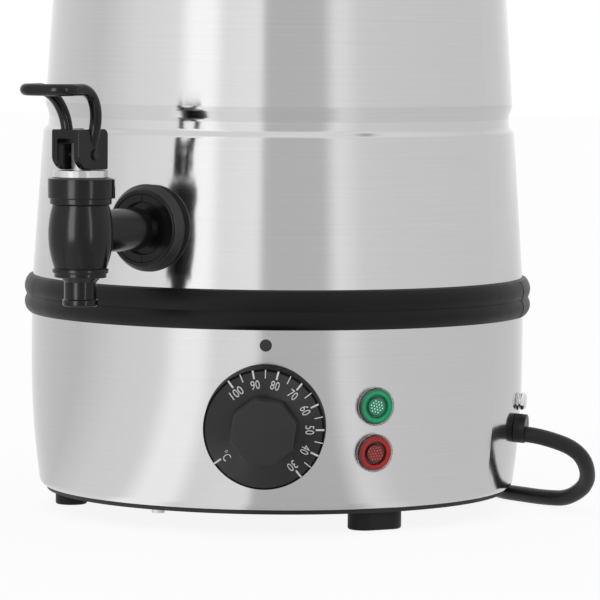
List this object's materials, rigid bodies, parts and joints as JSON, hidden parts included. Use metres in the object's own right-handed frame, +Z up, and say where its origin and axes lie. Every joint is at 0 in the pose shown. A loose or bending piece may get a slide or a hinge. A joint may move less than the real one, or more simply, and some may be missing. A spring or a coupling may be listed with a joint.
{
  "type": "hot water urn",
  "caption": "Free-standing stainless hot water urn: tapered tank on a heated base, lever tap, thermostat knob, pilot lamps, side handles and lift-off lid.",
  "frame": {"origin": "the point on the floor under the urn's axis, in the plane of the feet's undersides", "axes": "+Z up the urn's axis; -Y towards the tap; +X to the right of the tap, on the control side"},
  "size_m": [0.3366, 0.4991, 0.483],
  "materials": {
    "stainless": "horizontally brushed stainless steel",
    "base_plate_black": "black paint, matt",
    "band_black": "satin moulded rubber profile",
    "screw_steel": "bright steel",
    "dot_black": "matt",
    "knob_black": "satin moulded thermoset",
    "zinc_steel": "zinc-plated steel",
    "copper": "drawn copper",
    "clear_bezel": "clear moulded rim",
    "nylon_white": "natural nylon",
    "spring_steel": "spring steel",
    "lens_green": "glossy translucent green",
    "lens_red": "glossy translucent red",
    "gland_black": "satin nylon",
    "chrome": "polished",
    "brass": "turned brass",
    "aluminium": "milled",
    "heater_sheath": "annealed sheath, heat-tinted",
    "seal_black": "matt moulded rubber",
    "tap_black": "glossy moulded plastic",
    "tap_steel": "bright turned steel",
    "silicone": "translucent silicone",
    "handle_black": "satin thermoset",
    "cord_black": "matt rubber sheath",
    "plug_black": "moulded rubbery plastic",
    "plug_pins": "nickel-plated",
    "foot_rubber": "matt moulded rubber"
  },
  "bodies": {
    "urn": {"base_plate": "base_plate_black", "base_plate_screws": "screw_steel", "base_shell": "stainless", "capillary_and_bulb": "copper", "clamp_nut": "zinc_steel", "cord": "cord_black", "cord_coil": "cord_black", "cord_gland": "gland_black", "cord_tail": "cord_black", "cutout_body": "nylon_white", "cutout_nut": "chrome", "foot_1": "foot_rubber", "foot_2": "foot_rubber", "foot_3": "foot_rubber", "foot_screws": "screw_steel", "gland_nut": "gland_black", "green_lamp_lens": "lens_green", "heater_clamp": "zinc_steel", "heater_element": "heater_sheath", "heater_plate": "aluminium", "index_dot": "dot_black", "lamp_bezels": "clear_bezel", "lamp_bodies": "nylon_white", "lamp_clips": "spring_steel", "left_handle": "handle_black", "left_handle_brackets": "stainless", "left_handle_screws": "screw_steel", "plug_body": "plug_black", "plug_pins": "plug_pins", "red_lamp_lens": "lens_red", "right_handle": "handle_black", "right_handle_brackets": "stainless", "right_handle_screws": "screw_steel", "tank": "stainless", "tank_stud": "zinc_steel", "tap_body": "tap_black", "tap_bonnet": "tap_black", "tap_collar": "tap_black", "tap_inner_gasket": "seal_black", "tap_nut": "tap_black", "tap_outer_gasket": "seal_black", "tap_ring": "tap_steel", "tap_spring": "spring_steel", "terminal_block": "nylon_white", "terminal_screws": "brass", "thermostat_body": "zinc_steel", "thermostat_screws": "screw_steel", "trim_band": "band_black"},
    "control_knob": {"control_knob": "knob_black", "thermostat_shaft": "zinc_steel"},
    "reset_button": {"reset_button": "chrome"},
    "tap_stem": {"tap_stem": "tap_steel", "seat_cup": "silicone", "lever_pin": "tap_steel"},
    "tap_lever": {"tap_lever": "tap_black"},
    "lid": {"lid": "stainless", "lid_screw": "screw_steel", "lid_washer": "screw_steel", "lid_knob": "handle_black"}
  },
  "joints": [
    {"name": "knob_turn", "type": "hinge", "parent": "urn", "child": "control_knob", "pos_m": [0.06544, -0.12308, 0.06], "axis": [0.4689, -0.8818, -0.05], "range_deg": [-36, 235]},
    {"name": "reset_press", "type": "slide", "parent": "urn", "child": "reset_button", "axis": [-0.9446, -0.3253, 0.0429], "range_m": [0, 0.0008], "stiffness_N_per_m": 600, "springref_m": -0.002},
    {"name": "stem_lift", "type": "slide", "parent": "urn", "child": "tap_stem", "axis": [0, 0, 1], "range_m": [0, 0.00447], "stiffness_N_per_m": 600, "springref_m": -0.002, "deforming": ["tap_spring"]},
    {"name": "lever_pull", "type": "hinge", "parent": "tap_stem", "child": "tap_lever", "pos_m": [0, -0.205, 0.206], "axis": [1, 0, 0], "range_deg": [0, 45]},
    {"name": "lid_lift", "type": "slide", "parent": "urn", "child": "lid", "axis": [0, 0, 1], "range_m": [0, 0.06]}
  ],
  "couplings": [
    {"joint": "lever_pull", "follows": "stem_lift", "rad_per_m": 175.44}
  ]
}
